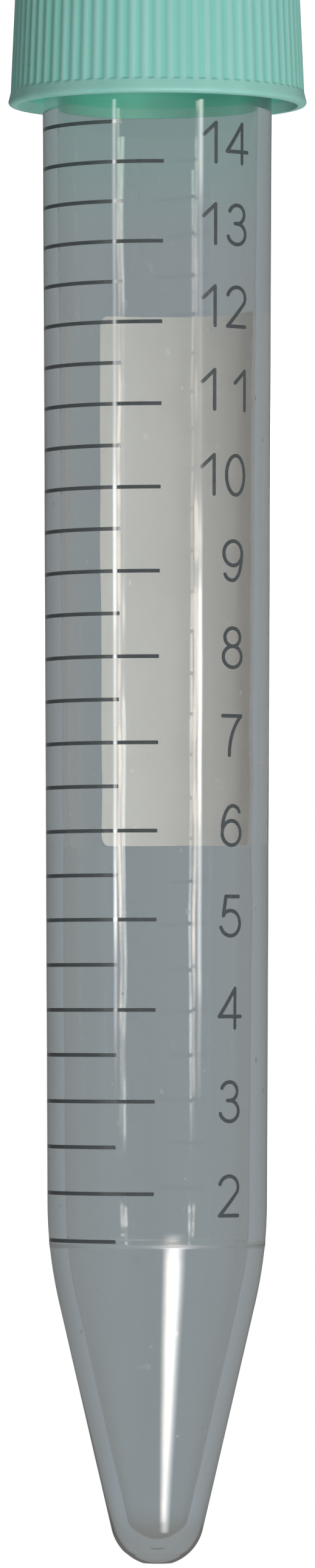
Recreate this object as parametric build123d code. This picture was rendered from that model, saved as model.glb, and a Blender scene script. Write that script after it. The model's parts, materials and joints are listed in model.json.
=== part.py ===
from build123d import *
from math import asin, atan, cos, degrees, pi, radians, sin, sqrt, tan
import os

# A 15 ml conical tube standing on the flat top of its screw cap, tip up.
# Millimetres. Origin: centre of the cap's flat top. +Z: along the axis, from the cap to the tip.
# Azimuths are degrees about the axis from the front (-Y), positive towards -X, which is the
# reader's right when the tube is held cap up. Heights along the tube are measured from the tip.

# ---- Driving dimensions: tube ----
total_length = 120.0          # cap's flat top to the flat on the tip
body_radius = 8.45            # outside, from the mouth to the cap's rim
body_taper = 0.0046           # outside radius lost for each mm from the rim to the shoulder
mouth_wall = 1.02             # wall from the mouth to the cap's rim
bore_taper = 0.0076           # inside radius lost for each mm from the rim to the shoulder
cone_half_angle = 13.1        # degrees
cone_wall = 1.25
shoulder_radius = 34.0        # long blend between body and cone
nose_radius = 3.42
tip_flat_radius = 1.03
tip_floor = 1.5               # thickness under the bore's lowest point
mouth_round = 0.3

# ---- Driving dimensions: cap ----
cap_wall = 1.10               # over the ribs, at the flat top
cap_draft = 0.0431            # radius gained for each mm away from the flat top
cap_top_thickness = 1.4
cap_edge_round = 0.6
rim_band_height = 1.0         # smooth band below the ribs
rim_flare = 0.17              # how far the band stands out beyond the ribs
rim_round = 0.3
rim_lip = 0.64                # thickness of the rim
skirt_depth = 3.06            # hollow between the tube and the rim
rib_count = 72
rib_depth = 0.26
groove_radius = 0.31

# ---- Driving dimensions: screw thread and sealing disc ----
thread_pitch = 3.0
thread_turns = 1.5
thread_root_width = 1.1       # at the buried root
thread_crest_width = 0.5
thread_height = 0.57          # how far the tube's thread stands out
thread_crest_clearance = 0.28 # tube's thread crest to the cap's bore
thread_neck_clearance = 0.35  # cap's thread crest to the tube's neck
thread_flank_clearance = 0.1
thread_lead_in = 1.3          # from the mouth to the middle of the thread's first end
thread_sink = 0.2             # how deep a thread's root is buried in its wall
disc_thickness = 0.8
disc_clearance = 0.3          # disc's edge to the cap's bore

# ---- Driving dimensions: print ----
ink_film = 0.05
mark_thickness = 0.28
mark_step = 0.5               # ml between marks
first_mark = 1.5              # ml
mark_cap_margin = 1.0         # no mark closer than this to the cap's rim
mark_left_azimuth = -91.0
long_mark_azimuth = 3.5       # where the whole millilitre marks end, next to the cap
short_mark_azimuth = -17.0
mark_skew = 0.067             # degrees the print drifts for each mm towards the tip
number_height = 3.16
number_width = 2.05
pen_width = 0.28
number_azimuth = 43.0         # centre of the units column, next to the cap
number_skew = 0.033
two_figure_shift = 1.3        # degrees, numbers from 10 up
figure_advance = 2.9          # from one figure's centre to the next
first_number_drop = 0.0       # a number's foot below its mark, next to the cap
number_drop_slope = 0.0217    # growth of that drop for each mm towards the tip
patch_below_rim = 15.1        # from the cap's rim to the patch
patch_height = 39.6
patch_near_azimuth = 97.0     # edge on the numbers' side
patch_far_azimuth = 215.0     # edge on the marks' side
patch_corner = 0.8

# ---- Derived sizes ----
cone_angle = radians(cone_half_angle)
bore_radius = body_radius - mouth_wall
cap_bore_radius = body_radius + thread_height + thread_crest_clearance
cap_top_radius = cap_bore_radius + cap_wall
disc_radius = cap_bore_radius - disc_clearance
mouth_z = cap_top_thickness + disc_thickness
thread_start_z = mouth_z + thread_lead_in
engaged_depth = thread_height - thread_neck_clearance
flank_spread = (thread_root_width - thread_crest_width) / 2 * engaged_depth / (thread_height + thread_sink)
thread_offset = thread_crest_width + flank_spread + thread_flank_clearance
skirt_z = thread_start_z + thread_offset + thread_pitch * thread_turns + thread_root_width / 2
cap_height = skirt_z + skirt_depth
rim_height = total_length - cap_height
cutter_margin = 10.0          # how far cutting shapes reach past what they cut


# ---- The tube's outline ----
def cone_radius(height, radius, centre):
    """Radius of the cone that touches an axial ball of this radius and centre height."""
    touch_radius = radius * cos(cone_angle)
    touch_height = centre - radius * sin(cone_angle)
    return touch_radius + (height - touch_height) * tan(cone_angle)


def ball_centre():
    """Height of the outside nose's centre above the flat on the tip."""
    return sqrt(nose_radius ** 2 - tip_flat_radius ** 2)


def bore_nose():
    """Radius and centre height of the bore's round end, tip_floor above the tip."""
    inner = nose_radius - cone_wall
    slope = 1 / sin(cone_angle)
    radius = (tip_floor - ball_centre() + inner * slope) / (slope - 1)
    return radius, tip_floor + radius


def shoulder(radius, taper, nose, centre, blend):
    """Ends and middle of the arc that blends the cone into the body, as (radius, height)."""
    gap = radius - taper * rim_height - cone_radius(0, nose, centre)
    corner = gap / (tan(cone_angle) - taper)
    lean = atan(taper)
    reach = blend * tan((cone_angle - lean) / 2)
    low = (cone_radius(corner, nose, centre) - reach * sin(cone_angle), corner - reach * cos(cone_angle))
    middle = (cone_angle + lean) / 2
    hub = (low[0] - blend * cos(cone_angle), low[1] + blend * sin(cone_angle))
    mid = (hub[0] + blend * cos(middle), hub[1] - blend * sin(middle))
    high = (hub[0] + blend * cos(lean), hub[1] - blend * sin(lean))
    return low, mid, high, hub


def at(radius, height):
    """A point of an outline, its height counted from the tip."""
    return (radius, total_length - height)


def turned(outline):
    """The solid that a closed outline of (radius, z) points makes around the axis."""
    return revolve(Plane.XZ * make_face(outline), Axis.Z)


def envelope(grow=0.0):
    """The tube's outside as a full solid, with every face moved out by grow."""
    nose, centre = nose_radius + grow, ball_centre()
    body = body_radius + grow
    low, mid, high, _ = shoulder(body, body_taper, nose, centre, shoulder_radius + grow)
    flat = sqrt(nose ** 2 - centre ** 2)
    tilt = (cone_angle + asin(centre / nose)) / 2
    outline = Line(at(0, 0), at(flat, 0))
    outline += ThreePointArc(
        at(flat, 0),
        at(nose * cos(tilt), centre - nose * sin(tilt)),
        at(nose * cos(cone_angle), centre - nose * sin(cone_angle)),
    )
    outline += Line(at(nose * cos(cone_angle), centre - nose * sin(cone_angle)), at(*low))
    outline += ThreePointArc(at(*low), at(*mid), at(*high))
    outline += Line(at(*high), at(body, rim_height))
    outline += Polyline(at(body, rim_height), (body, mouth_z), (0, mouth_z), at(0, 0))
    return turned(outline)


def bore():
    """The tube's hollow, open through the mouth."""
    nose, centre = bore_nose()
    blend = shoulder_radius - cone_wall
    low, mid, high, _ = shoulder(bore_radius, bore_taper, nose, centre, blend)
    tilt = (radians(90) + cone_angle) / 2
    touch = at(nose * cos(cone_angle), centre - nose * sin(cone_angle))
    open_end = mouth_z - cutter_margin
    outline = ThreePointArc(at(0, centre - nose), at(nose * cos(tilt), centre - nose * sin(tilt)), touch)
    outline += Line(touch, at(*low))
    outline += ThreePointArc(at(*low), at(*mid), at(*high))
    outline += Polyline(
        at(*high), at(bore_radius, rim_height), (bore_radius, open_end), (0, open_end), at(0, centre - nose)
    )
    return turned(outline)


# ---- Screw thread ----
def thread(wall_radius, height, first_z, outward):
    """A right-hand thread ridge on a wall, standing out of it or into it by height."""
    side = 1 if outward else -1
    helix = Helix(thread_pitch, thread_pitch * thread_turns, wall_radius, center=(0, 0, first_z))
    half_root, half_crest = thread_root_width / 2, thread_crest_width / 2
    section = Plane(origin=helix @ 0, x_dir=(1, 0, 0), z_dir=helix % 0)
    profile = make_face(Polyline(
        (-side * thread_sink, -half_root),
        (side * height, -half_crest),
        (side * height, half_crest),
        (-side * thread_sink, half_root),
        close=True,
    ))
    return sweep(section * profile, path=helix, is_frenet=True)


def tube():
    """Tube with its thread: one moulding."""
    body = envelope() - bore()
    mouth_edges = body.edges().filter_by(GeomType.CIRCLE).group_by(Axis.Z)[0]
    body = fillet(mouth_edges, min(mouth_round, 0.45 * mouth_wall))
    return body + thread(body_radius, thread_height, thread_start_z, True)


# ---- Cap ----
def rib_crest(z):
    """Radius over the ribs at this height above the cap's flat top."""
    return cap_top_radius + cap_draft * z


def cap_blank():
    """The cap before its ribs are cut: top plate, wall, flared rim and hollow skirt."""
    band_z = cap_height - rim_band_height
    widest_z = cap_height - rim_round
    widest = rib_crest(band_z) + rim_flare
    foot = widest - rim_round
    turn = rim_round / sqrt(2)
    outline = Polyline(
        (0, cap_top_thickness), (0, 0), (cap_top_radius, 0), (rib_crest(band_z), band_z), (widest, widest_z)
    )
    outline += ThreePointArc((widest, widest_z), (foot + turn, widest_z + turn), (foot, cap_height))
    outline += Polyline(
        (foot, cap_height),
        (widest - rim_lip, cap_height),
        (cap_bore_radius, skirt_z),
        (cap_bore_radius, cap_top_thickness),
        (0, cap_top_thickness),
    )
    blank = turned(outline)
    return fillet(blank.edges().group_by(Axis.Z)[0], min(cap_edge_round, 0.45 * cap_top_thickness))


def rib_grooves():
    """Round-bottomed grooves between the ribs, each ending square at the smooth band."""
    end_z = cap_height - rim_band_height
    lean = degrees(atan(cap_draft))
    offset = groove_radius - rib_depth
    start = Location((rib_crest(end_z) + offset, 0, end_z), (0, lean, 0))
    length = end_z + cutter_margin
    rod = start * Pos(0, 0, -length / 2) * Cylinder(groove_radius, length)
    return [Rot(0, 0, (i + 0.5) * 360 / rib_count) * rod for i in range(rib_count)]


def cap():
    """Screw cap: one moulding with ribs outside and a thread inside."""
    inner_height = cap_bore_radius - body_radius - thread_neck_clearance
    ridge = thread(cap_bore_radius, inner_height, thread_start_z + thread_offset, False)
    return cap_blank() + ridge - rib_grooves()


def sealing_disc():
    """Loose disc between the cap's top plate and the tube's mouth."""
    return Pos(0, 0, cap_top_thickness + disc_thickness / 2) * Cylinder(disc_radius, disc_thickness)


# ---- Print on the tube ----
def bore_area(height):
    """Cross-section of the hollow at a height above the tip."""
    nose, centre = bore_nose()
    blend = shoulder_radius - cone_wall
    low, _, high, hub = shoulder(bore_radius, bore_taper, nose, centre, blend)
    if height < centre - nose:
        radius = 0
    elif height < centre - nose * sin(cone_angle):
        radius = sqrt(nose ** 2 - (height - centre) ** 2)
    elif height < low[1]:
        radius = cone_radius(height, nose, centre)
    elif height < high[1]:
        radius = hub[0] + sqrt(blend ** 2 - (height - hub[1]) ** 2)
    else:
        radius = bore_radius - bore_taper * (rim_height - height)
    return pi * radius ** 2


def mark_heights():
    """Height of the liquid's level at each mark, by filling the hollow slice by slice."""
    slice_height = 0.05
    marks, target, volume, height = {}, first_mark, 0.0, 0.0
    while height < rim_height - mark_cap_margin:
        volume += bore_area(height + slice_height / 2) * slice_height / 1000
        height += slice_height
        if volume >= target:
            marks[target] = height
            target += mark_step
    return marks


def film_over(cutter):
    """The part of the thin ink film on the tube's outside that lies within cutter."""
    return cutter & ink_skin


def sector(radius, left, right, thickness):
    """A flat wedge between two azimuths, as thick as given, centred on z = 0."""
    start, span = -90 - right, right - left
    arc = CenterArc((0, 0), radius, start, span)
    face = make_face(Line((0, 0), arc @ 0) + arc + Line(arc @ 1, (0, 0)))
    return extrude(face, thickness / 2, both=True)


def drift(azimuth, skew, height):
    """Azimuth of a column of print that drifts as it goes from the rim to the tip."""
    return azimuth - skew * (rim_height - height)


def graduation_lines():
    """A long mark at each whole millilitre and a short one half way between."""
    reach = body_radius + cutter_margin
    marks = []
    for volume, height in mark_heights().items():
        whole = abs(volume - round(volume)) < 0.01
        right = drift(long_mark_azimuth if whole else short_mark_azimuth, mark_skew, height)
        wedge = sector(reach, mark_left_azimuth, right, mark_thickness)
        marks.append(film_over(Pos(0, 0, total_length - height) * wedge))
    return Compound(children=[solid for mark in marks for solid in mark.solids()])


def bowl(x, y, half_width, half_height, start, end):
    """Centre line of a round stroke, the part of an ellipse from start to end degrees."""
    return EllipticalCenterArc((x, y), half_width, half_height, start, arc_size=end - start)


def ring(x, y, half_width, half_height):
    """Centre lines of a closed round stroke."""
    return [bowl(x, y, half_width, half_height, start, start + 180) for start in (0, 180)]


def path(*points):
    """Centre lines of straight strokes from point to point."""
    return [Line(first, second) for first, second in zip(points, points[1:])]


def figure_strokes(figure):
    """Centre lines of one figure, in a frame whose origin is the figure's middle."""
    w, h = (number_width - pen_width) / 2, (number_height - pen_width) / 2
    if figure == "0":
        return ring(0, 0, w, h)
    if figure == "1":
        return path((w, -h), (w, h), (w - 1.0, 0.38 * h))
    if figure == "2":
        top = bowl(0, 0.46 * h, w, 0.54 * h, -32, 165)
        return [top] + path(top @ 0, (-w, -h), (w, -h))
    if figure == "3":
        upper = bowl(-0.03 * w, 0.53 * h, 0.85 * w, 0.47 * h, -90, 160)
        lower = bowl(-0.03 * w, -0.47 * h, w, 0.53 * h, -165, 90)
        return [upper, lower] + path((-0.25 * w, 0.06 * h), (0, 0.06 * h))
    if figure == "4":
        stem = 0.5 * w
        return path((stem, -h), (stem, h), (-1.15 * w, -0.42 * h), (1.15 * w, -0.42 * h))
    if figure == "5":
        belly = bowl(-0.06 * w, -0.36 * h, 1.06 * w, 0.64 * h, -160, 125)
        return [belly] + path((0.85 * w, h), (-0.55 * w, h), (-0.8 * w, 0.02 * h), belly @ 1)
    if figure == "6":
        back = bowl(0.1 * w, -0.38 * h, 1.1 * w, 1.38 * h, 90, 180)
        return ring(0, -0.38 * h, w, 0.62 * h) + [back, bowl(0.1 * w, 0.6 * h, 0.8 * w, 0.4 * h, 15, 90)]
    if figure == "7":
        bend = bowl(2.2 * w, -h, 2.5 * w, 2.265 * h, 118, 180)
        return path((-w, h), (w, h)) + [bend]
    if figure == "8":
        return ring(0, 0.54 * h, 0.84 * w, 0.46 * h) + ring(0, -0.46 * h, w, 0.54 * h)
    raise ValueError(figure)


def figure_shape(figure):
    """One figure as pen strokes with round joints; a nine is a six turned half round."""
    if figure == "9":
        return Rot(0, 0, 180) * figure_shape("6")
    shape = Sketch()
    for stroke in figure_strokes(figure):
        shape += trace(stroke, pen_width)
        for end in (stroke @ 0, stroke @ 1):
            shape += Pos(end.X, end.Y) * Circle(pen_width / 2)
    return shape


def figure_on_tube(figure, azimuth, height):
    """One figure as an ink film, upright when the cap is up."""
    facing = radians(azimuth)
    outward = Vector(-sin(facing), -cos(facing), 0)
    right = Vector(-cos(facing), sin(facing), 0)
    place = Plane(
        origin=outward * (body_radius + 1) + Vector(0, 0, total_length - height),
        x_dir=right,
        z_dir=outward,
    )
    return film_over(extrude(place * figure_shape(figure), -body_radius / 2))


def scale_numbers():
    """The millilitre numbers, each with its foot at or a little below its mark."""
    figures = []
    for volume, height in mark_heights().items():
        if abs(volume - round(volume)) > 0.01:
            continue
        text = str(round(volume))
        below_rim = rim_height - height
        drop = first_number_drop + number_drop_slope * below_rim
        middle = height - drop + number_height / 2
        step = degrees(figure_advance / body_radius)
        units = drift(number_azimuth, number_skew, height)
        units += two_figure_shift if len(text) > 1 else 0
        for place, figure in enumerate(reversed(text)):
            figures.append(figure_on_tube(figure, units - place * step, middle))
    return Compound(children=[solid for figure in figures for solid in figure.solids()])


def writing_patch():
    """A white field with rounded corners on the side away from the scale."""
    middle_z = cap_height + patch_below_rim + patch_height / 2
    wedge = sector(body_radius + cutter_margin, patch_near_azimuth, patch_far_azimuth, patch_height)
    field = film_over(Pos(0, 0, middle_z) * wedge)
    across_film = [edge for edge in field.edges() if edge.length < 2 * ink_film]
    return fillet(across_film, patch_corner)


ink_skin = envelope(ink_film) - envelope()
os.makedirs("parts", exist_ok=True)
export_step(cap(), "parts/cap.step")
export_step(sealing_disc(), "parts/cap_liner.step")
export_step(tube(), "parts/tube.step")
export_step(graduation_lines(), "parts/graduation_lines.step")
export_step(scale_numbers(), "parts/scale_numbers.step")
export_step(writing_patch(), "parts/writing_patch.step")
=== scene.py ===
"""A 15 ml conical tube with its screw cap, built and dressed for rendering.

The tube stands on the flat top of its cap, tip up. The camera is held upside down, so that the
picture shows the cap at the top and the numbers upright. Lengths are metres; heights along the
tube are counted from the tip, and azimuths in degrees from the front, positive towards -X.
"""
import json
import logging
from collections.abc import Callable, Sequence
from dataclasses import dataclass, field
from enum import Enum
from functools import cache
from math import asin, atan, atan2, ceil, cos, degrees, floor, pi, radians, sin, sqrt, tan

import bmesh
import bpy
from mathutils import Euler, Matrix, Vector, noise

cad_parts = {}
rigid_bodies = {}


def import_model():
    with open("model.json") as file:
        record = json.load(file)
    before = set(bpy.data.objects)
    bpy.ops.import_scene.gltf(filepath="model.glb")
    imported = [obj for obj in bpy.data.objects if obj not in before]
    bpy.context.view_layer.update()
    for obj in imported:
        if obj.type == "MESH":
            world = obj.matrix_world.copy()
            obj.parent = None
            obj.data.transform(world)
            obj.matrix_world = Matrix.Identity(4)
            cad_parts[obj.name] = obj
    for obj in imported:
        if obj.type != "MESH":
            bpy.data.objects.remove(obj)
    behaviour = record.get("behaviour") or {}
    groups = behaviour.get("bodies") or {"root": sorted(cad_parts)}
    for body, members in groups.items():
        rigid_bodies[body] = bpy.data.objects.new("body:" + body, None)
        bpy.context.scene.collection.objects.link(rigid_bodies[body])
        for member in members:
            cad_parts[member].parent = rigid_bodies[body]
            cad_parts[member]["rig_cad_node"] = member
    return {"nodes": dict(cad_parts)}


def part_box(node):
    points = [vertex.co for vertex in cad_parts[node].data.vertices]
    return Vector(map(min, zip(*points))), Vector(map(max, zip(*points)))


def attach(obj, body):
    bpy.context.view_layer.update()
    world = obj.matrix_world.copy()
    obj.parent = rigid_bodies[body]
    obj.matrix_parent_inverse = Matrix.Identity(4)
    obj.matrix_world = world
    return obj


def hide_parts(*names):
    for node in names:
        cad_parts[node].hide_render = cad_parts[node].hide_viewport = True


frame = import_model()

MM = 0.001
SAME_PLACE = 1e-7  # points closer together than this, in metres, are one
SHARP_CORNER = 35.0  # degrees between two faces from which their edge isn't shaded smooth
Point = tuple[float, float]
Place = tuple[float, float, float]
Colour = tuple[float, float, float]
Offset = Callable[[float, float, float], float]
Socket = bpy.types.NodeSocket
WHITE: Colour = (1.0, 1.0, 1.0)

log = logging.getLogger("tube")


class Body(Enum):
    """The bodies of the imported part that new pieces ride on."""

    CAP = "cap"
    TUBE = "tube"


class Slot(Enum):
    """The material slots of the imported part."""

    TUBE_PLASTIC = "tube_plastic"
    CAP_PLASTIC = "cap_plastic"
    DISC_FOAM = "disc_foam"
    BLACK_INK = "black_ink"
    WHITE_INK = "white_ink"


def smooth_step(low: float, high: float, value: float) -> float:
    """Rises from 0 at low to 1 at high with level ends."""
    share = min(1.0, max(0.0, (value - low) / (high - low)))
    return share * share * (3 - 2 * share)


def on_display(red: int, green: int, blue: int) -> Colour:
    """The scene's linear colour for a colour given in the 0 to 255 steps of a display."""
    steps = (step / 255 for step in (red, green, blue))
    return tuple(s / 12.92 if s <= 0.04045 else ((s + 0.055) / 1.055) ** 2.4 for s in steps)


def around(azimuth: float, radius: float, z: float) -> Vector:
    """The place at an azimuth from the front, a radius and a height above the floor."""
    turn = radians(azimuth)
    return Vector((-radius * sin(turn), -radius * cos(turn), z))


# ---- Turned shapes ----
@dataclass
class Outline:
    """The section of a turned shape: a chain of points, each a radius and a height above the floor."""

    points: list[Point] = field(default_factory=list)

    def to(self, *ends: Point, spacing: float = 0.0) -> "Outline":
        """Adds straight runs.

        Args:
            ends: Where each run ends.
            spacing: The longest step along a run, or 0 for one step a run.

        Returns:
            The outline itself.
        """
        for end in ends:
            start = self.points[-1] if self.points else end
            length = sqrt((end[0] - start[0]) ** 2 + (end[1] - start[1]) ** 2)
            steps = max(1, ceil(length / spacing)) if spacing else 1
            for step in range(1, steps + 1):
                share = step / steps
                self.points.append(tuple(a + (b - a) * share for a, b in zip(start, end)))
        return self

    def arc(self, hub: Point, radius: float, start: float, end: float, steps: int) -> "Outline":
        """Adds a round stretch.

        Args:
            hub: The arc's centre.
            radius: The arc's radius.
            start: Its first angle, in degrees up from the outward direction.
            end: Its last angle.
            steps: How many points the stretch has after its first.

        Returns:
            The outline itself.
        """
        for step in range(steps + 1):
            angle = radians(start + (end - start) * step / steps)
            self.points.append((hub[0] + radius * cos(angle), hub[1] + radius * sin(angle)))
        return self

    def tidy(self) -> list[Point]:
        """Leaves out the points that repeat the one before.

        Returns:
            The other points.
        """
        kept = self.points[:1]
        for point in self.points[1:]:
            if abs(point[0] - kept[-1][0]) + abs(point[1] - kept[-1][1]) > SAME_PLACE:
                kept.append(point)
        return kept


def turned_piece(name: str, outline: Outline, segments: int, offset: Offset) -> bpy.types.Object:
    """Turns a section that starts and ends on the axis into a closed mesh.

    Args:
        name: The new object's name.
        outline: The section.
        segments: How many columns of faces go round the axis.
        offset: How far a point at an angle, a radius and a height moves out.

    Returns:
        The new object, linked to the scene, with smooth faces and sharp corners.
    """
    vertices, rings = [], []
    for radius, z in outline.tidy():
        count = 1 if radius < SAME_PLACE else segments
        rings.append(range(len(vertices), len(vertices) + count))
        for column in range(count):
            angle = 2 * pi * column / segments
            reach = radius + (offset(angle, radius, z) if count > 1 else 0.0)
            vertices.append((reach * cos(angle), reach * sin(angle), z))
    faces = []
    for low, high in zip(rings, rings[1:]):
        for column in range(segments):
            after = (column + 1) % segments
            near, far = ((ring[column % len(ring)], ring[after % len(ring)]) for ring in (low, high))
            faces.append(list(dict.fromkeys((*near, *reversed(far)))))
    return mesh_piece(name, vertices, faces)


def mesh_piece(name: str, vertices: list[Place], faces: list[Sequence[int]]) -> bpy.types.Object:
    """Makes an object of a mesh whose faces all look outwards.

    Args:
        name: The new object's name.
        vertices: The places of its corners.
        faces: The corners of each face.

    Returns:
        The new object, linked to the scene.
    """
    mesh = bpy.data.meshes.new(name)
    mesh.from_pydata(vertices, [], faces)
    shape = bmesh.new()
    shape.from_mesh(mesh)
    bmesh.ops.recalc_face_normals(shape, faces=shape.faces)
    shape.to_mesh(mesh)
    shape.free()
    mesh.shade_smooth()
    mesh.set_sharp_from_angle(angle=radians(SHARP_CORNER))
    piece = bpy.data.objects.new(name, mesh)
    bpy.context.scene.collection.objects.link(piece)
    return piece


@dataclass(frozen=True)
class ScrewThread:
    """A right-hand thread ridge that stands on a turned wall."""

    first_z: float
    height: float
    pitch: float = 3.0 * MM
    turns: float = 1.5
    root_width: float = 0.94 * MM
    crest_width: float = 0.5 * MM
    run_out: float = 20.0  # degrees over which each end of the ridge sinks into the wall

    def rise(self, angle: float, z: float) -> float:
        """How far the ridge stands on the wall.

        Args:
            angle: The angle from +X.
            z: The height above the floor.

        Returns:
            The rise, which is 0 beside the ridge.
        """
        turn = angle / (2 * pi)
        level = (z - self.first_z) / self.pitch
        lap = floor(level - turn + 0.5)
        along = turn + lap
        if not 0 <= along <= self.turns:
            return 0.0
        away = abs(level - along) * self.pitch
        flank = (self.root_width - self.crest_width) / 2
        share = min(1.0, max(0.0, (self.root_width / 2 - away) / flank))
        ends = min(along, self.turns - along) * 360 / self.run_out
        return self.height * share * smooth_step(0, 1, ends)

    def span(self) -> tuple[float, float]:
        """The lowest and highest place that the ridge reaches."""
        half = self.root_width / 2
        return self.first_z - half, self.first_z + self.pitch * self.turns + half


# ---- Shader wiring ----
class Wiring:
    """Adds and links the nodes of one node tree."""

    def __init__(self, tree: bpy.types.NodeTree) -> None:
        """Empties the tree and keeps it."""
        self.tree = tree
        tree.nodes.clear()

    def add(self, kind: str, inputs: dict | None = None, **settings: object) -> bpy.types.Node:
        """Adds a node and feeds its inputs.

        Args:
            kind: The node's type, without its leading ShaderNode.
            inputs: A value, or another node's output, for each named or numbered input.
            settings: The node's own settings.

        Returns:
            The new node.
        """
        node = self.tree.nodes.new("ShaderNode" + kind)
        for name, value in settings.items():
            setattr(node, name, value)
        for key, value in (inputs or {}).items():
            if isinstance(value, Socket):
                self.tree.links.new(value, node.inputs[key])
            elif isinstance(value, tuple) and len(value) == 3 and node.inputs[key].type == "RGBA":
                node.inputs[key].default_value = (*value, 1.0)
            else:
                node.inputs[key].default_value = value
        return node

    def group(self, tree: bpy.types.NodeTree, *values: float) -> bpy.types.Node:
        """Places a shared group of nodes with its own values, in the order of the group's inputs."""
        return self.add("Group", dict(enumerate(values)), node_tree=tree)

    def math(self, operation: str, first: Socket | float, second: Socket | float = 0.0) -> Socket:
        """The result of an operation on two values, or on the first alone."""
        return self.add("Math", {0: first, 1: second}, operation=operation).outputs[0]

    def places(self, stretch: Place = (1.0, 1.0, 1.0)) -> Socket:
        """The piece's own coordinates, scaled along each axis."""
        coordinates = self.add("TexCoord").outputs["Object"]
        return self.add("Mapping", {"Vector": coordinates, "Scale": stretch}).outputs["Vector"]

    def blend(self, share: Socket, first: Socket | Colour, second: Socket | Colour) -> Socket:
        """A colour that goes from first to second as share goes from 0 to 1."""
        # A Mix node's sockets 6 and 7 are its colours.
        return self.add("Mix", {"Factor": share, 6: first, 7: second}, data_type="RGBA").outputs[2]

    def mix(self, share: Socket, first: Socket, second: Socket) -> Socket:
        """A shader that goes from first to second as share goes from 0 to 1."""
        return self.add("MixShader", {0: share, 1: first, 2: second}).outputs[0]

    def span(self, value: Socket, result: Point, given: Point = (0.0, 1.0), kind: str = "LINEAR") -> Socket:
        """Goes from the first result to the second as a value goes over the given stretch."""
        limits = {"From Min": given[0], "From Max": given[1], "To Min": result[0], "To Max": result[1]}
        return self.add("MapRange", {"Value": value, **limits}, interpolation_type=kind).outputs["Result"]

    def ramp(self, value: Socket, start: float, end: float) -> Socket:
        """A mask that goes smoothly from 0, where the value is start, to 1, where it is end."""
        result = (0.0, 1.0) if start < end else (1.0, 0.0)
        return self.span(value, result, (min(start, end), max(start, end)), "SMOOTHSTEP")

    def noise(self, places: Socket, density: Socket | float, detail: float, roughness: float = 0.5) -> Socket:
        """A soft random pattern with values from 0 to 1."""
        inputs = {"Vector": places, "Scale": density, "Detail": detail, "Roughness": roughness}
        return self.add("TexNoise", inputs).outputs["Fac"]

    def bump(self, height: Socket, depth: float) -> Socket:
        """The normal of a surface with small hills of this depth."""
        return self.add("Bump", {"Height": height, "Distance": depth}).outputs["Normal"]


class SharedGroup(Wiring):
    """The wiring of a group of nodes that several finishes place with their own values."""

    def __init__(self, name: str, inputs: dict[str, float]) -> None:
        """Starts the group.

        Args:
            name: Its name.
            inputs: Its input values and what each is by default.
        """
        super().__init__(bpy.data.node_groups.new(name, "ShaderNodeTree"))
        for title, default in inputs.items():
            socket = self.tree.interface.new_socket(title, in_out="INPUT", socket_type="NodeSocketFloat")
            socket.default_value = default
        self.given = self.tree.nodes.new("NodeGroupInput").outputs

    def close(self, outputs: dict[str, Socket]) -> bpy.types.NodeTree:
        """Gives the group its output values.

        Args:
            outputs: Each value's name and where it comes from.

        Returns:
            The group's tree.
        """
        leaving = self.tree.nodes.new("NodeGroupOutput")
        for title, value in outputs.items():
            self.tree.interface.new_socket(title, in_out="OUTPUT", socket_type="NodeSocketFloat")
            self.tree.links.new(value, leaving.inputs[title])
        return self.tree


@cache
def moulded_grain() -> bpy.types.NodeTree:
    """Two sizes of soft grain, as a spark-eroded mould leaves it.

    Returns:
        The group, which puts out a height and a tone.
    """
    group = SharedGroup("moulded grain", {"Grains a metre": 3000.0})
    places, density = group.places(), group.given["Grains a metre"]
    fine = group.noise(places, density, detail=3.0, roughness=0.6)
    coarse_density = group.math("MULTIPLY", density, 0.13)
    coarse = group.noise(places, coarse_density, detail=2.0)
    return group.close({"Height": group.math("ADD", fine, coarse), "Tone": coarse})


@cache
def flow_lines() -> bpy.types.NodeTree:
    """Long faint bands along the axis, as plastic leaves them when it fills a tall mould.

    Returns:
        The group, which puts out a tone.
    """
    group = SharedGroup("flow lines", {"Bands a metre": 700.0})
    places = group.places(stretch=(1.0, 1.0, 0.035))
    bands = group.noise(places, group.given["Bands a metre"], detail=1.0)
    return group.close({"Tone": group.span(bands, (0.0, 1.0), given=(0.3, 0.7))})


@cache
def scuffs() -> bpy.types.NodeTree:
    """Sparse small scuffs and dust.

    Returns:
        The group, which puts out a mask that is 1 on them.
    """
    group = SharedGroup("scuffs", {"Spots a metre": 900.0, "Threshold": 0.72})
    places = group.places(stretch=(1.0, 1.0, 0.6))
    spots = group.noise(places, group.given["Spots a metre"], detail=1.0)
    above = group.math("SUBTRACT", spots, group.given["Threshold"])
    return group.close({"Mask": group.span(above, (0.0, 1.0), given=(0.0, 0.04))})


# ---- Finishes ----
@dataclass(frozen=True, kw_only=True)
class Finish:
    """A named finish. Each kind says what its surface is made of."""

    name: str

    def material(self) -> bpy.types.Material:
        """Makes the finish's material.

        Returns:
            The material.
        """
        material = bpy.data.materials.new(self.name)
        material.use_nodes = True
        wiring = Wiring(material.node_tree)
        wiring.add("OutputMaterial", {"Surface": self.surface(wiring)})
        return material

    def surface(self, wiring: Wiring) -> Socket:
        """The shader that each kind of finish puts together."""
        raise NotImplementedError


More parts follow.
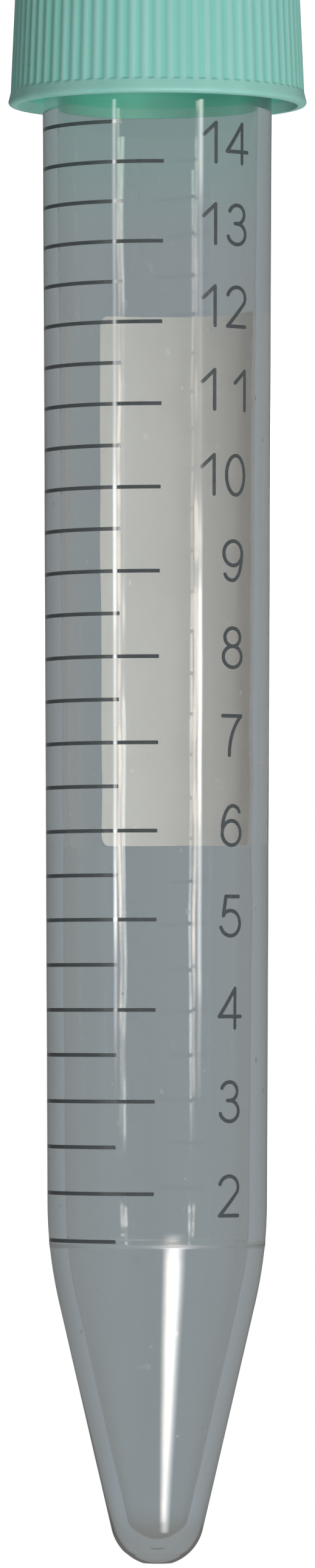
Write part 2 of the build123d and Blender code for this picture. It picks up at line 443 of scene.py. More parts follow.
@dataclass(frozen=True, kw_only=True)
class ClearMoulding(Finish):
    """Clear, slightly grey moulded plastic with a polished skin. It looks denser along its wall."""

    rim_z: float  # where the painted green glow starts, which stands in for the light that the cap throws into the plastic
    seam_z: float  # where the mould's seam is a little hazy
    tip_z: float
    name: str = "clear_moulding"
    colour: Colour = (0.875, 0.875, 0.86)
    dense_colour: Colour = (0.835, 0.838, 0.825)
    bands_a_metre: float = 420.0
    scuff_colour: Colour = (0.93, 0.93, 0.92)
    spots_a_metre: float = 1100.0
    spot_threshold: float = 0.765
    seam_haze: float = 0.22 * MM
    edge_colour: Colour = (0.793, 0.724, 0.648)  # where the eye looks along the wall
    edge_slant: Point = (0.20, 0.75)  # from which slant of the eye to which it comes in
    outline_colour: Colour = (0.48, 0.48, 0.46)  # along the very outline
    outline_slant: Point = (0.76, 0.92)
    tip_colour: Colour = (0.785, 0.75, 0.70)  # round the solid tip
    tip_edge_colour: Colour = (0.65, 0.575, 0.495)
    solid_tip: float = 4.5 * MM
    tip_depth: float = 18.0 * MM
    painted_glow_colour: Colour = (0.784, 0.872, 0.826)  # painted light: the cap's green glow in the plastic close to the cap
    painted_glow_edge_colour: Colour = (0.72, 0.785, 0.73)
    painted_glow_reach: float = 12.0 * MM
    painted_glow_edge_reach: float = 19.0 * MM
    bore_mirror_tint: Colour = (1.0, 0.85, 0.74)
    shadow_colour: Colour = (0.76, 0.77, 0.765)
    last_mirror: float = 2.5  # light that the wall has mirrored more often goes straight on
    roughness: Point = (0.0, 0.45)  # of the plain skin, and of scuffs and the seam
    clearness: float = 1.0
    refraction: float = 1.49

    def surface(self, wiring: Wiring) -> Socket:
        """Clear plastic that is rough on its dust and its seam.

        Args:
            wiring: The material's wiring.

        Returns:
            The shader's output.
        """
        height = wiring.add("SeparateXYZ", {0: wiring.add("TexCoord").outputs["Object"]}).outputs[2]
        dust = wiring.group(scuffs(), self.spots_a_metre, self.spot_threshold)
        from_seam = wiring.math("ABSOLUTE", wiring.math("SUBTRACT", height, self.seam_z))
        haze = wiring.ramp(from_seam, self.seam_haze, 0.0)
        marks = wiring.math("MAXIMUM", dust.outputs["Mask"], haze)
        from_inside = wiring.add("NewGeometry").outputs["Backfacing"]
        skin = wiring.add("BsdfPrincipled", {
            "Base Color": self.tint(wiring, height, dust.outputs["Mask"], haze),
            "Roughness": wiring.span(marks, self.roughness),
            "Transmission Weight": self.clearness,
            "IOR": self.refraction,
            "Specular Tint": wiring.blend(from_inside, WHITE, self.bore_mirror_tint),
        })
        return self.let_through(wiring, skin.outputs[0])

    def tint(self, wiring: Wiring, height: Socket, dust: Socket, haze: Socket) -> Socket:
        """The plastic's colour, which is deeper where the eye looks along the wall and has a painted green
        glow near the cap.

        Args:
            wiring: The material's wiring.
            height: The height above the floor.
            dust: A mask that is 1 on scuffs and dust.
            haze: A mask that is 1 on the seam.

        Returns:
            The colour's output.
        """
        bands = wiring.group(flow_lines(), self.bands_a_metre).outputs["Tone"]
        # painted light: a green glow near the cap, on the face and on the edges, for the light that the cap
        # throws into the plastic
        near_cap = wiring.ramp(height, self.rim_z + self.painted_glow_reach, self.rim_z)
        in_tip = wiring.ramp(height, self.tip_z - self.solid_tip, self.tip_z - self.solid_tip / 3)
        near_tip = wiring.ramp(height, self.tip_z - self.tip_depth, self.tip_z)
        edge_near_cap = wiring.ramp(height, self.rim_z + self.painted_glow_edge_reach, self.rim_z)
        edge = wiring.blend(near_tip, self.edge_colour, self.tip_edge_colour)
        edge = wiring.blend(edge_near_cap, edge, self.painted_glow_edge_colour)
        slant = wiring.add("LayerWeight", {"Blend": 0.5}).outputs["Facing"]
        tint = self.colour
        for mask, colour in (
            (bands, self.dense_colour),
            (dust, self.scuff_colour),
            (near_cap, self.painted_glow_colour),
            (haze, self.scuff_colour),
            (in_tip, self.tip_colour),
            (wiring.ramp(slant, *self.edge_slant), edge),
            (wiring.ramp(slant, *self.outline_slant), self.outline_colour),
        ):
            tint = wiring.blend(mask, tint, colour)
        return tint

    def let_through(self, wiring: Wiring, skin: Socket) -> Socket:
        """Lets the lamps' light, for a pale shadow, and light that was mirrored often go straight through.

        Args:
            wiring: The material's wiring.
            skin: The plastic's shader.

        Returns:
            The mixed shader's output.
        """
        path = wiring.add("LightPath").outputs
        clear = wiring.add("BsdfTransparent", {"Color": self.shadow_colour}).outputs[0]
        straight = wiring.add("BsdfTransparent").outputs[0]
        tired = wiring.math("GREATER_THAN", path["Glossy Depth"], self.last_mirror)
        return wiring.mix(tired, wiring.mix(path["Is Shadow Ray"], skin, clear), straight)


@dataclass(frozen=True, kw_only=True)
class CapPlastic(Finish):
    """Soft green moulded plastic with a painted sheen, paler, on its ribs' crests and rim, and one dark speck
    of dust.
    """

    rib_count: int
    band_z: float  # where the smooth rim starts
    inner_radius: float  # what lies nearer to the axis is the inside
    name: str = "cap_plastic"
    # painted sheen: the paler colour of the ribs' crests and of the rim
    painted_sheen_colour: Colour = (0.28, 0.578, 0.512)
    painted_sheen_edge: Point = (0.36, 0.14)  # in ribs from its middle, where a crest's painted sheen starts and is full
    groove_colour: Colour = (0.20, 0.545, 0.472)
    deep_colour: Colour = (0.12, 0.44, 0.36)
    deep_share: Point = (0.0, 0.25)  # how much of it the flow lines show
    bands_a_metre: float = 500.0
    inside_colour: Colour = (0.125, 0.56, 0.44)
    speck_colour: Colour = on_display(20, 48, 46)
    speck_place: Vector = around(-62.5, 10.8 * MM, 9.7 * MM)
    speck_edge: Point = (0.06 * MM, 0.14 * MM)
    soft_edge: float = 0.1 * MM  # over what width the colours change at the rim and the inside
    roughness: Point = (0.45, 0.58)
    grains_a_metre: float = 2600.0
    grain_depth: float = 0.006 * MM
    gloss: float = 1.0
    refraction: float = 1.49

    def surface(self, wiring: Wiring) -> Socket:
        """Grained green plastic.

        Args:
            wiring: The material's wiring.

        Returns:
            The shader's output.
        """
        grain = wiring.group(moulded_grain(), self.grains_a_metre)
        bands = wiring.group(flow_lines(), self.bands_a_metre).outputs["Tone"]
        place = wiring.add("TexCoord").outputs["Object"]
        flat = wiring.add("VectorMath", {0: place, 1: (1.0, 1.0, 0.0)}, operation="MULTIPLY")
        radius = wiring.add("VectorMath", {0: flat.outputs[0]}, operation="LENGTH").outputs["Value"]
        outside = wiring.ramp(radius, self.inner_radius, self.inner_radius + self.soft_edge)
        # the painted sheen lies on the outside only
        painted_sheen = wiring.math("MULTIPLY", self.painted_sheen(wiring, place), outside)
        tint = wiring.blend(painted_sheen, self.groove_colour, self.painted_sheen_colour)
        tint = wiring.blend(outside, self.inside_colour, tint)
        tint = wiring.blend(wiring.span(bands, self.deep_share), tint, self.deep_colour)
        away = wiring.add("VectorMath", {0: place, 1: tuple(self.speck_place)}, operation="DISTANCE")
        speck = wiring.span(away.outputs["Value"], (1.0, 0.0), self.speck_edge)
        return wiring.add("BsdfPrincipled", {
            "Base Color": wiring.blend(speck, tint, self.speck_colour),
            "Roughness": wiring.span(grain.outputs["Tone"], self.roughness),
            "Specular IOR Level": self.gloss,
            "IOR": self.refraction,
            "Normal": wiring.bump(grain.outputs["Height"], self.grain_depth),
        }).outputs[0]

    def painted_sheen(self, wiring: Wiring, place: Socket) -> Socket:
        """Where a paler sheen is painted on the cap.

        Args:
            wiring: The material's wiring.
            place: The place on the cap.

        Returns:
            A mask that is 1 on the ribs' crests and on the rim.
        """
        parts = wiring.add("SeparateXYZ", {0: place})
        turn = wiring.math("ARCTAN2", parts.outputs[1], parts.outputs[0])
        ribs = wiring.math("MULTIPLY", turn, self.rib_count / (2 * pi))
        crests = wiring.ramp(wiring.math("PINGPONG", ribs, 0.5), *self.painted_sheen_edge)
        half_edge = self.soft_edge / 2
        rim = wiring.ramp(parts.outputs[2], self.band_z - half_edge, self.band_z + half_edge)
        return wiring.math("MAXIMUM", crests, rim)


@dataclass(frozen=True, kw_only=True)
class PrintInk(Finish):
    """A printed film: a main colour, a thinner place's colour and a finish."""

    colour: Colour
    thin_colour: Colour
    roughness: Point
    coat: float = 0.0  # how much of the film has the glossy skin of wet ink
    coat_roughness: float = 0.04
    coat_refraction: float = 1.9
    refraction: float = 1.5
    spots_a_metre: float = 2600.0
    spot_threshold: float = 0.68
    grains_a_metre: float = 5200.0
    grain_depth: float = 0.004 * MM

    def surface(self, wiring: Wiring) -> Socket:
        """Ink that is a little uneven, as a stamped print is.

        Args:
            wiring: The material's wiring.

        Returns:
            The shader's output.
        """
        grain = wiring.group(moulded_grain(), self.grains_a_metre)
        spots = wiring.group(scuffs(), self.spots_a_metre, self.spot_threshold)
        tint = wiring.blend(grain.outputs["Tone"], self.colour, self.thin_colour)
        return wiring.add("BsdfPrincipled", {
            "Base Color": wiring.blend(spots.outputs["Mask"], tint, self.thin_colour),
            "Roughness": wiring.span(grain.outputs["Tone"], self.roughness),
            "Coat Weight": self.coat,
            "Coat Roughness": self.coat_roughness,
            "Coat IOR": self.coat_refraction,
            "IOR": self.refraction,
            "Normal": wiring.bump(grain.outputs["Height"], self.grain_depth),
        }).outputs[0]


BLACK_INK = PrintInk(
    name="black_ink", colour=on_display(50, 53, 54), thin_colour=on_display(62, 65, 66),
    roughness=(0.192, 0.30), coat=0.85,
)
WHITE_INK = PrintInk(
    name="white_ink", colour=(0.82, 0.80, 0.78), thin_colour=(0.79, 0.77, 0.75), roughness=(0.44, 0.6875),
)


@dataclass(frozen=True, kw_only=True)
class DiscFoam(Finish):
    """Pale closed-cell foam of the sealing disc."""

    name: str = "disc_foam"
    colour: Colour = on_display(226, 228, 222)
    cell_colour: Colour = on_display(200, 203, 197)
    cells_a_metre: float = 2400.0
    grains_a_metre: float = 2000.0
    cell_depth: float = 0.03 * MM
    roughness: float = 0.7

    def surface(self, wiring: Wiring) -> Socket:
        """Foam with small round cells.

        Args:
            wiring: The material's wiring.

        Returns:
            The shader's output.
        """
        cells = wiring.add("TexVoronoi", {"Vector": wiring.places(), "Scale": self.cells_a_metre})
        grain = wiring.group(moulded_grain(), self.grains_a_metre)
        height = wiring.math("ADD", cells.outputs["Distance"], grain.outputs["Height"])
        return wiring.add("BsdfPrincipled", {
            "Base Color": wiring.blend(cells.outputs["Distance"], self.colour, self.cell_colour),
            "Roughness": self.roughness,
            "Normal": wiring.bump(height, self.cell_depth),
        }).outputs[0]


@dataclass(frozen=True, kw_only=True)
class FloorPaint(Finish):
    """Matt white paint that looks white where no shadow falls on it."""

    name: str = "floor_paint"
    colour: Colour = (0.62, 0.62, 0.62)
    worn_colour: Colour = (0.6076, 0.6076, 0.6076)
    grains_a_metre: float = 700.0
    roughness: float = 0.9
    gloss: float = 0.1
    lift: Point = (0.70, 1.0)  # how much white the camera sees added, in the tube's shadow and far off
    shadow_end: Point = (0.15, 0.6)

    def surface(self, wiring: Wiring) -> Socket:
        """Matt paint. What the camera sees of it is lifted to white.

        Args:
            wiring: The material's wiring.

        Returns:
            The shader's output.
        """
        grain = wiring.group(moulded_grain(), self.grains_a_metre)
        matt = wiring.add("BsdfPrincipled", {
            "Base Color": wiring.blend(grain.outputs["Tone"], self.colour, self.worn_colour),
            "Roughness": self.roughness,
            "Specular IOR Level": self.gloss,
        }).outputs[0]
        reach = wiring.add("VectorMath", {0: wiring.places()}, operation="LENGTH").outputs["Value"]
        lift = wiring.span(reach, self.lift, self.shadow_end)
        glow = wiring.add("Emission", {"Color": WHITE, "Strength": lift})
        lifted = wiring.add("AddShader", {0: matt, 1: glow.outputs[0]})
        return wiring.mix(wiring.add("LightPath").outputs["Is Camera Ray"], matt, lifted.outputs[0])


def dress(piece: bpy.types.Object, material: bpy.types.Material) -> None:
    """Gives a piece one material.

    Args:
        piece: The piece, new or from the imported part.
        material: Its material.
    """
    piece.data.materials.clear()
    piece.data.materials.append(material)


# ---- The tube ----
@dataclass(frozen=True)
class WallLine:
    """One face of the tube's wall: round nose, cone, long shoulder and slightly tapered body."""

    nose_radius: float
    nose_height: float
    body_radius: float
    body_taper: float
    shoulder_radius: float
    rim_height: float
    cone_angle: float = radians(13.1)

    def cone_radius(self, height: float) -> float:
        """The cone's radius at a height."""
        touch_height = self.nose_height - self.nose_radius * sin(self.cone_angle)
        return self.nose_radius * cos(self.cone_angle) + (height - touch_height) * tan(self.cone_angle)

    def shoulder_hub(self) -> Point:
        """Finds the centre of the arc that blends the cone into the body.

        Returns:
            Its radius and its height from the tip.
        """
        lean = atan(self.body_taper)
        gap = self.body_radius - self.body_taper * self.rim_height - self.cone_radius(0.0)
        corner = gap / (tan(self.cone_angle) - self.body_taper)
        reach = self.shoulder_radius * tan((self.cone_angle - lean) / 2)
        radius = self.cone_radius(corner) - reach * sin(self.cone_angle)
        height = corner - reach * cos(self.cone_angle)
        return (
            radius - self.shoulder_radius * cos(self.cone_angle),
            height + self.shoulder_radius * sin(self.cone_angle),
        )


@dataclass
class TubeMoulding:
    """The clear tube: one moulding with a round nose, a cone and a threaded neck."""

    body_radius: float = 8.45 * MM
    body_taper: float = 0.0046
    mouth_wall: float = 1.02 * MM
    bore_taper: float = 0.0076
    cone_wall: float = 1.25 * MM
    shoulder_radius: float = 34.0 * MM
    nose_radius: float = 3.42 * MM
    tip_flat_radius: float = 1.03 * MM
    tip_floor: float = 1.5 * MM
    mouth_round: float = 0.3 * MM
    print_grip: float = 0.02 * MM  # how far the skin closes over the patch's inner face
    print_cover: float = 0.04 * MM  # how much further it goes to cover the lines and numbers
    cover_start: Point = (-118.0, -100.0)  # the azimuths over which that cover comes in
    cover_end: Point = (88.0, 70.0)  # and those over which it ends
    thread_lead_in: float = 1.3 * MM
    thread_height: float = 0.57 * MM
    outer_ripple: float = 0.010 * MM  # slow waves that the mould leaves in the outer face
    inner_ripple: float = 0.035 * MM  # and those in the bore, where the core cooled unevenly
    ripple_length: float = 5.0 * MM
    calm_nose: Point = (1.0 * MM, 3.0 * MM)  # the radii over which the ripple comes in
    face_change: float = 0.05 * MM  # half the width over which the wall's two faces change over
    seam_from_tip: float = 23.5 * MM  # where the mould's cone insert meets its body insert
    seam_rise: float = 0.022 * MM
    seam_width: float = 1.1 * MM
    segments: int = 192
    row_spacing: float = 1.2 * MM
    shoulder_rows: int = 48
    nose_rows: int = 18
    mouth_rows: int = 5
    thread_row_spacing: float = 0.13 * MM
    tip_z: float = field(init=False)
    mouth_z: float = field(init=False)
    rim_z: float = field(init=False)

    def build(self, rim_z: float) -> bpy.types.Object:
        """Turns the tube.

        Args:
            rim_z: The height of the cap's rim above the floor, where the wall's taper starts.

        Returns:
            The tube's object.
        """
        low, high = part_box("tube")
        self.tip_z, self.mouth_z, self.rim_z = high.z, low.z, rim_z
        thread = ScrewThread(self.mouth_z + self.thread_lead_in, self.thread_height)
        wall = self.outer_wall()
        outline = self.outside(wall, thread)
        self.inside(outline)

        def relief(angle: float, radius: float, z: float) -> float:
            """The thread on the outside of the neck, the seam and the ripple of both faces.

            Args:
                angle: The angle from +X.
                radius: The plain wall's radius.
                z: The height above the floor.

            Returns:
                How far the wall moves out.
            """
            place = Vector((radius * cos(angle), radius * sin(angle), z)) / self.ripple_length
            limit = min(self.body_radius, wall.cone_radius(self.tip_z - z)) - self.cone_wall / 2
            outside = smooth_step(-self.face_change, self.face_change, radius - limit)
            depth = self.inner_ripple + (self.outer_ripple - self.inner_ripple) * outside
            fade = smooth_step(*self.calm_nose, radius)
            proud = thread.rise(angle, z) + self.seam(z) + self.cover(angle)
            return outside * proud + fade * depth * noise.noise(place)

        piece = turned_piece("tube_moulding", outline, self.segments, relief)
        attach(piece, Body.TUBE.value)
        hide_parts("tube")
        finish = ClearMoulding(rim_z=rim_z, seam_z=self.tip_z - self.seam_from_tip, tip_z=self.tip_z)
        dress(piece, finish.material())
        return piece

    def seam(self, z: float) -> float:
        """How far the mould's seam stands proud at a height above the floor."""
        away = abs(z - (self.tip_z - self.seam_from_tip)) / (self.seam_width / 2)
        return self.seam_rise * (0.5 + 0.5 * cos(pi * min(1.0, away)))

    def cover(self, angle: float) -> float:
        """How much thicker the skin is, which covers the print on the front.

        Args:
            angle: The angle from +X.

        Returns:
            The added thickness.
        """
        azimuth = degrees(atan2(-cos(angle), -sin(angle)))
        covered = smooth_step(*self.cover_start, azimuth) * smooth_step(*self.cover_end, azimuth)
        return self.print_cover * covered

    def nose_height(self) -> float:
        """How far the round nose's centre lies from the flat of the tip."""
        return sqrt(self.nose_radius ** 2 - self.tip_flat_radius ** 2)

    def outer_wall(self) -> WallLine:
        """The line of the outer face."""
        return WallLine(
            self.nose_radius + self.print_grip, self.nose_height(), self.body_radius + self.print_grip,
            self.body_taper, self.shoulder_radius, self.tip_z - self.rim_z,
        )

    def outside(self, wall: WallLine, thread: ScrewThread) -> Outline:
        """The outside from the tip to the mouth.

        Args:
            wall: The line of the outer face.
            thread: The neck's thread, which needs rows close together.

        Returns:
            The outline so far.
        """
        outline = Outline().to((0.0, self.tip_z), (self.tip_flat_radius, self.tip_z))
        first = degrees(asin(wall.nose_height / wall.nose_radius))
        self.climb(outline, wall, first)
        thread_low, thread_high = thread.span()
        radius = wall.body_radius
        outline.to((radius, self.rim_z), (radius, thread_high), spacing=self.row_spacing)
        outline.to((radius, thread_low), spacing=self.thread_row_spacing)
        hub = (radius - self.mouth_round, self.mouth_z + self.mouth_round)
        return outline.arc(hub, self.mouth_round, 0, -90, self.mouth_rows)

    def inside(self, outline: Outline) -> None:
        """Adds the bore from the mouth to its round end.

        Args:
            outline: The outline that ends at the mouth.
        """
        inner_nose = self.nose_radius - self.cone_wall
        slope = 1 / sin(WallLine.cone_angle)
        nose = (self.tip_floor - self.nose_height() + inner_nose * slope) / (slope - 1)
        bore_radius = self.body_radius - self.mouth_wall
        wall = WallLine(
            nose, self.tip_floor + nose, bore_radius, self.bore_taper,
            self.shoulder_radius - self.cone_wall, self.tip_z - self.rim_z,
        )
        rising = Outline().to((0.0, self.tip_z - self.tip_floor))
        self.climb(rising, wall, 90.0)
        round_z = self.mouth_z + self.mouth_round
        rising.to((bore_radius, self.rim_z), (bore_radius, round_z), spacing=self.row_spacing)
        rising.arc((bore_radius + self.mouth_round, round_z), self.mouth_round, 180, 270, self.mouth_rows)
        outline.points += reversed(rising.points)

    def climb(self, outline: Outline, wall: WallLine, first: float) -> None:
        """Adds a wall face from its nose to the end of its shoulder.

        Args:
            outline: The outline that ends where the nose starts.
            wall: The wall face.
            first: The nose's first angle, in degrees up from the outward direction.
        """
        cone = degrees(wall.cone_angle)
        lean = degrees(atan(wall.body_taper))
        nose_hub = (0.0, self.tip_z - wall.nose_height)
        outline.arc(nose_hub, wall.nose_radius, first, cone, self.nose_rows)
        hub_radius, hub_height = wall.shoulder_hub()
        hub = (hub_radius, self.tip_z - hub_height)
        start = (
            hub_radius + wall.shoulder_radius * cos(wall.cone_angle),
            hub[1] + wall.shoulder_radius * sin(wall.cone_angle),
        )
        outline.to(start, spacing=self.row_spacing)
        outline.arc(hub, wall.shoulder_radius, cone, lean, self.shoulder_rows)


# ---- The cap ----
@dataclass
class ScrewCap:
    """The ribbed screw cap: one moulding with a flared rim, a hollow skirt and a thread inside."""

    top_thickness: float = 1.4 * MM
    bore_radius: float = 9.30 * MM
    wall: float = 1.10 * MM
    draft: float = 0.0431
    edge_round: float = 0.6 * MM
    band_height: float = 1.0 * MM
    rim_flare: float = 0.17 * MM
    rim_round: float = 0.3 * MM
    rim_lip: float = 0.64 * MM
    skirt_depth: float = 3.06 * MM
    rib_count: int = 72
    rib_depth: float = 0.11 * MM
    rib_end: float = 0.15 * MM  # how long the slope is that ends a groove at the rim
    columns_a_rib: int = 10
    thread_height: float = 0.50 * MM
    thread_first_z: float = 4.17 * MM
    skin_depth: float = 0.8 * MM  # how far from the bore the inside's colour reaches
    edge_rows: int = 7
    rim_rows: int = 6
    rim_spacing: float = 0.25 * MM
    lip_spacing: float = 0.8 * MM
    flat_spacing: float = 3.2 * MM
    thread_row_spacing: float = 0.16 * MM
    # how far short of the smooth rim, and the rows' spacing up to there
    rib_rows: tuple[Point, ...] = ((0.6 * MM, 1.5 * MM), (0.2 * MM, 0.2 * MM), (0.0, 0.05 * MM))
    height: float = field(init=False)
    band_z: float = field(init=False)

    def build(self) -> bpy.types.Object:
        """Turns the cap and cuts its ribs.

        Returns:
            The cap's object.
        """
        self.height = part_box("cap")[1].z
        self.band_z = self.height - self.band_height
        thread = ScrewThread(self.thread_first_z, self.thread_height)

        def relief(angle: float, radius: float, z: float) -> float:
            """Rib grooves outside and the thread inside."""
            outside = radius > self.crest(z) - self.wall / 2
            return -self.groove(angle, z) if outside else -thread.rise(angle, z)

        piece = turned_piece("ribbed_cap", self.outline(thread), self.rib_count * self.columns_a_rib, relief)
        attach(piece, Body.CAP.value)
        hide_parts("cap")
        inner_radius = self.bore_radius + self.skin_depth
        finish = CapPlastic(rib_count=self.rib_count, band_z=self.band_z, inner_radius=inner_radius)
        dress(piece, finish.material())
        return piece

    def crest(self, z: float) -> float:
        """The radius over the ribs at a height."""
        return self.bore_radius + self.wall + self.draft * z

    def groove(self, angle: float, z: float) -> float:
        """How far the outside lies below the ribs' crests.

        Args:
            angle: The angle from +X.
            z: The height above the floor.

        Returns:
            The groove's depth there.
        """
        share = (angle / (2 * pi) * self.rib_count + 0.5) % 1.0 - 0.5
        ends = smooth_step(self.band_z, self.band_z - self.rib_end, z)
        along = ends * smooth_step(0.0, self.edge_round, z)
        return along * self.rib_depth * (0.5 - 0.5 * cos(2 * pi * share))

    def outline(self, thread: ScrewThread) -> Outline:
        """The cap's section, from the middle of its flat top round the rim to the inside.

        Args:
            thread: The cap's thread, which needs rows close together.

        Returns:
            The closed outline.
        """
        top = self.crest(0.0)
        edge_hub = (top - self.edge_round, self.edge_round)
        widest = self.crest(self.band_z) + self.rim_flare
        skirt_z = self.height - self.skirt_depth
        rim_hub = (widest - self.rim_round, self.height - self.rim_round)
        outline = Outline().to((0.0, 0.0), (top - self.edge_round, 0.0), spacing=self.flat_spacing)
        outline.arc(edge_hub, self.edge_round, -90, 0, self.edge_rows)
        for short, spacing in self.rib_rows:
            z = self.band_z - short
            outline.to((self.crest(z), z), spacing=spacing)
        outline.to((widest, rim_hub[1]), spacing=self.rim_spacing)
        outline.arc(rim_hub, self.rim_round, 0, 90, self.rim_rows)
        lip = (widest - self.rim_lip, self.height)
        outline.to(lip, (self.bore_radius, skirt_z), spacing=self.lip_spacing)
        thread_low, thread_high = thread.span()
        outline.to((self.bore_radius, thread_high))
        outline.to((self.bore_radius, thread_low), spacing=self.thread_row_spacing)
        inside_top = (self.bore_radius, self.top_thickness)
        return outline.to(inside_top, (0.0, self.top_thickness), spacing=self.flat_spacing)


# ---- What stays as packed ----
@dataclass(frozen=True)
class PackedPieces:
    """The print and the sealing disc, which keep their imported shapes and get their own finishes."""

    marks: tuple[str, ...] = ("graduation_lines", "scale_numbers")
    patch: str = "writing_patch"
    disc: str = "cap_liner"

    def dress_all(self) -> list[bpy.types.Object]:
        """Gives each of these nodes its finish. Gloss doesn't show the thin marks.

        Returns:
            The dressed nodes.
        """
        nodes = frame["nodes"]
        black = BLACK_INK.material()
        for name in self.marks:
            dress(nodes[name], black)
            nodes[name].visible_glossy = False
        dress(nodes[self.patch], WHITE_INK.material())
        dress(nodes[self.disc], DiscFoam().material())
        return [nodes[name] for name in (*self.marks, self.patch, self.disc)]


# ---- The studio ----
@dataclass(frozen=True)
class SoftLamp:
    """A flat lamp that faces the tube."""

    name: str
    azimuth: float
    elevation: float
    width: float
    length: float
    power: float
    distance: float = 0.9
    mirrored: bool = True  # whether gloss shows it
    seen_through: bool = True  # whether it shows through clear plastic
    side_fade: float = 0.5  # share of the width over which each side fades
    # places along the lamp, from 0 to 1, and how bright it is there
    panes: tuple[Point, ...] = ((0.0, 0.0), (0.3, 1.0), (0.7, 1.0), (1.0, 0.0))

    def build(self, target: Vector) -> None:
        """Places the lamp.

        Args:
            target: What it faces.
        """
        data = bpy.data.lights.new(self.name, "AREA")
        data.shape = "RECTANGLE"
        data.size, data.size_y = self.width, self.length
        data.energy = self.power
        self.soften(data)
        lamp = bpy.data.objects.new(self.name, data)
        reach = self.distance * cos(radians(self.elevation))
        lamp.location = around(self.azimuth, reach, target.z + self.distance * sin(radians(self.elevation)))
        lamp.rotation_euler = (target - lamp.location).to_track_quat("-Z", "Y").to_euler()
        lamp.visible_glossy = self.mirrored
        lamp.visible_transmission = self.seen_through
        bpy.context.scene.collection.objects.link(lamp)

    def soften(self, data: bpy.types.AreaLight) -> None:
        """Makes the lamp fade towards its edges, as a cloth front does.

        Args:
            data: The lamp.
        """
        data.use_nodes = True
        wiring = Wiring(data.node_tree)
        place = wiring.add("SeparateXYZ", {0: wiring.add("NewGeometry").outputs["Parametric"]})
        from_middle = wiring.math("ABSOLUTE", wiring.math("SUBTRACT", place.outputs[0], 0.5))
        sides = wiring.ramp(from_middle, 0.5, 0.5 - self.side_fade)
        along = wiring.add("ValToRGB", {0: place.outputs[1]})
        stops = along.color_ramp.elements
        stops.remove(stops[-1])  # a new ramp has a stop at each end, and the first can't be removed
        for number, (share, brightness) in enumerate(self.panes):
            stop = stops.new(share) if number else stops[0]
            stop.color = (brightness, brightness, brightness, 1.0)
        both = wiring.math("MULTIPLY", sides, along.outputs[0])
        glow = wiring.add("Emission", {"Color": WHITE, "Strength": both})
        wiring.add("OutputLight", {"Surface": glow.outputs[0]})


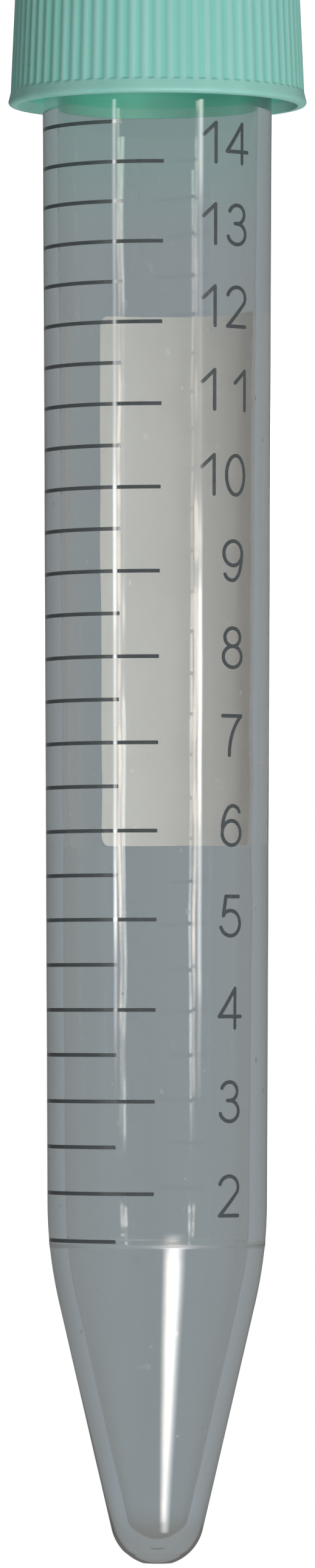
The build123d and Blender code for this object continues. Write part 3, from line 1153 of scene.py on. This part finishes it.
@dataclass
class Studio:
    """The floor, the light and the camera."""

    eye_distance: float = 687.4 * MM
    eye_drop: float = 41.1 * MM  # how far the eye is below the tip
    frame_height: float = 115.92 * MM  # what the picture's height covers at the tube's axis
    look_up: float = 16.4 * MM  # how far the picture's middle lies from the eye's level
    sensor_width: float = 36.0  # in millimetres, as Blender's cameras take it
    clip: Point = (0.01, 20.0)
    lamps: tuple[SoftLamp, ...] = (
        SoftLamp("left_strip", -44.0, -2.99, 0.10, 0.18, 1.22, panes=(
            (0.0, 0.40), (0.28, 0.17), (0.37, 0.30), (0.44, 0.72), (0.55, 0.70), (0.575, 0.43), (0.69, 0.38),
            (0.75, 0.50), (0.805, 1.0), (0.84, 0.85), (0.895, 0.27), (0.95, 0.10), (1.0, 0.0),
        )),
        SoftLamp("right_strip", 44.0, -2.99, 0.12, 0.18, 1.40, panes=(
            (0.0, 0.60), (0.12, 0.50), (0.17, 0.15), (0.40, 0.08), (0.47, 0.35), (0.517, 1.0), (0.69, 1.0),
            (0.747, 0.53), (0.89, 0.50), (0.92, 0.21), (0.95, 0.15), (1.0, 0.0),
        )),
        SoftLamp("high_window", 18.5, 24.0, 0.44, 0.42, 10.5),
        SoftLamp("high_fill", 18.5, 24.0, 0.50, 0.42, 9.3, mirrored=False),
        SoftLamp("back_fill", 180.0, 24.0, 0.30, 0.42, 8.5, mirrored=False, seen_through=False),
    )
    room_light: Colour = (0.235, 0.235, 0.235)
    room_mirrored: Colour = (0.17, 0.17, 0.17)  # how gloss shows the room
    dark_side: Colour = (0.03, 0.035, 0.035)  # and its unlit side, at the reader's left
    dark_from: Point = (0.1, 0.8)  # how far towards +X that side starts and is full
    room_seen_through: Colour = (0.345, 0.395, 0.43)  # how the clear plastic shows the room
    floor_radius: float = 3.0
    floor_rings: int = 24
    floor_columns: int = 64

    def build(self, tip_z: float) -> None:
        """Makes everything round the tube.

        Args:
            tip_z: The height of the tube's tip.
        """
        self.lay_floor()
        self.light_room()
        for lamp in self.lamps:
            lamp.build(Vector((0.0, 0.0, tip_z / 2)))
        self.place_camera(tip_z)
        scene = bpy.context.scene
        scene.view_settings.view_transform = "Standard"
        scene.cycles.max_bounces = 8
        scene.cycles.transmission_bounces = 8
        scene.cycles.diffuse_bounces = 2
        scene.cycles.glossy_bounces = 3

    def lay_floor(self) -> None:
        """Lays a wide round floor, whose rings widen outwards."""
        columns = self.floor_columns
        turns = [2 * pi * column / columns for column in range(columns)]
        vertices = [(0.0, 0.0, 0.0)]
        for ring in range(1, self.floor_rings + 1):
            reach = self.floor_radius * (ring / self.floor_rings) ** 2
            vertices += [(reach * cos(turn), reach * sin(turn), 0.0) for turn in turns]
        faces = []
        for column in range(columns):
            after = (column + 1) % columns
            faces.append((0, 1 + column, 1 + after))
            for low in range(1, len(vertices) - columns, columns):
                high = low + columns
                faces.append((low + column, high + column, high + after, low + after))
        floor_piece = mesh_piece("studio_floor", vertices, faces)
        floor_piece.data.materials.append(FloorPaint().material())
        floor_piece.visible_glossy = False
        floor_piece.visible_transmission = False

    def light_room(self) -> None:
        """Fills the room with plain light and shows it white to the camera and pale to gloss and glass."""
        world = bpy.data.worlds.new("studio_room")
        world.use_nodes = True
        world.cycles.sampling_method = "NONE"
        bpy.context.scene.world = world
        wiring = Wiring(world.node_tree)
        path = wiring.add("LightPath").outputs
        shown = wiring.add("Background", {"Color": self.room_light}).outputs[0]
        sideways = wiring.add("SeparateXYZ", {0: wiring.add("TexCoord").outputs["Generated"]}).outputs[0]
        mirrored = wiring.blend(wiring.ramp(sideways, *self.dark_from), self.room_mirrored, self.dark_side)
        for ray, colour in (
            ("Is Glossy Ray", mirrored),
            ("Is Transmission Ray", self.room_seen_through),
            ("Is Camera Ray", WHITE),
        ):
            shown = wiring.mix(path[ray], shown, wiring.add("Background", {"Color": colour}).outputs[0])
        wiring.add("OutputWorld", {"Surface": shown})

    def place_camera(self, tip_z: float) -> None:
        """Sets the camera upside down in front of the tube.

        Args:
            tip_z: The height of the tube's tip.
        """
        data = bpy.data.cameras.new("bench_camera")
        # The picture is taller than wide, and the sensor's width lies along the longer side.
        data.sensor_width = self.sensor_width
        data.lens = self.sensor_width * self.eye_distance / self.frame_height
        data.clip_start, data.clip_end = self.clip
        camera = bpy.data.objects.new("bench_camera", data)
        bpy.context.scene.collection.objects.link(camera)
        eye = Matrix.Translation((0.0, -self.eye_distance, tip_z - self.eye_drop))
        tilt = Euler((radians(90) - atan(self.look_up / self.eye_distance), 0.0, 0.0)).to_matrix().to_4x4()
        camera.matrix_world = eye @ tilt @ Matrix.Rotation(pi, 4, "Z")
        bpy.context.scene.camera = camera


def main() -> None:
    """Builds and dresses the part, then the room around it."""
    logging.basicConfig(level=logging.INFO, format="%(name)s: %(message)s")
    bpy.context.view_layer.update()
    rim_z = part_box("cap")[1].z
    tube = TubeMoulding()
    for piece in (ScrewCap().build(), tube.build(rim_z), *PackedPieces().dress_all()):
        log.info("%s: %d faces", piece.name, len(piece.data.polygons))
    Studio().build(tube.tip_z)


if __name__ == "__main__":
    main()
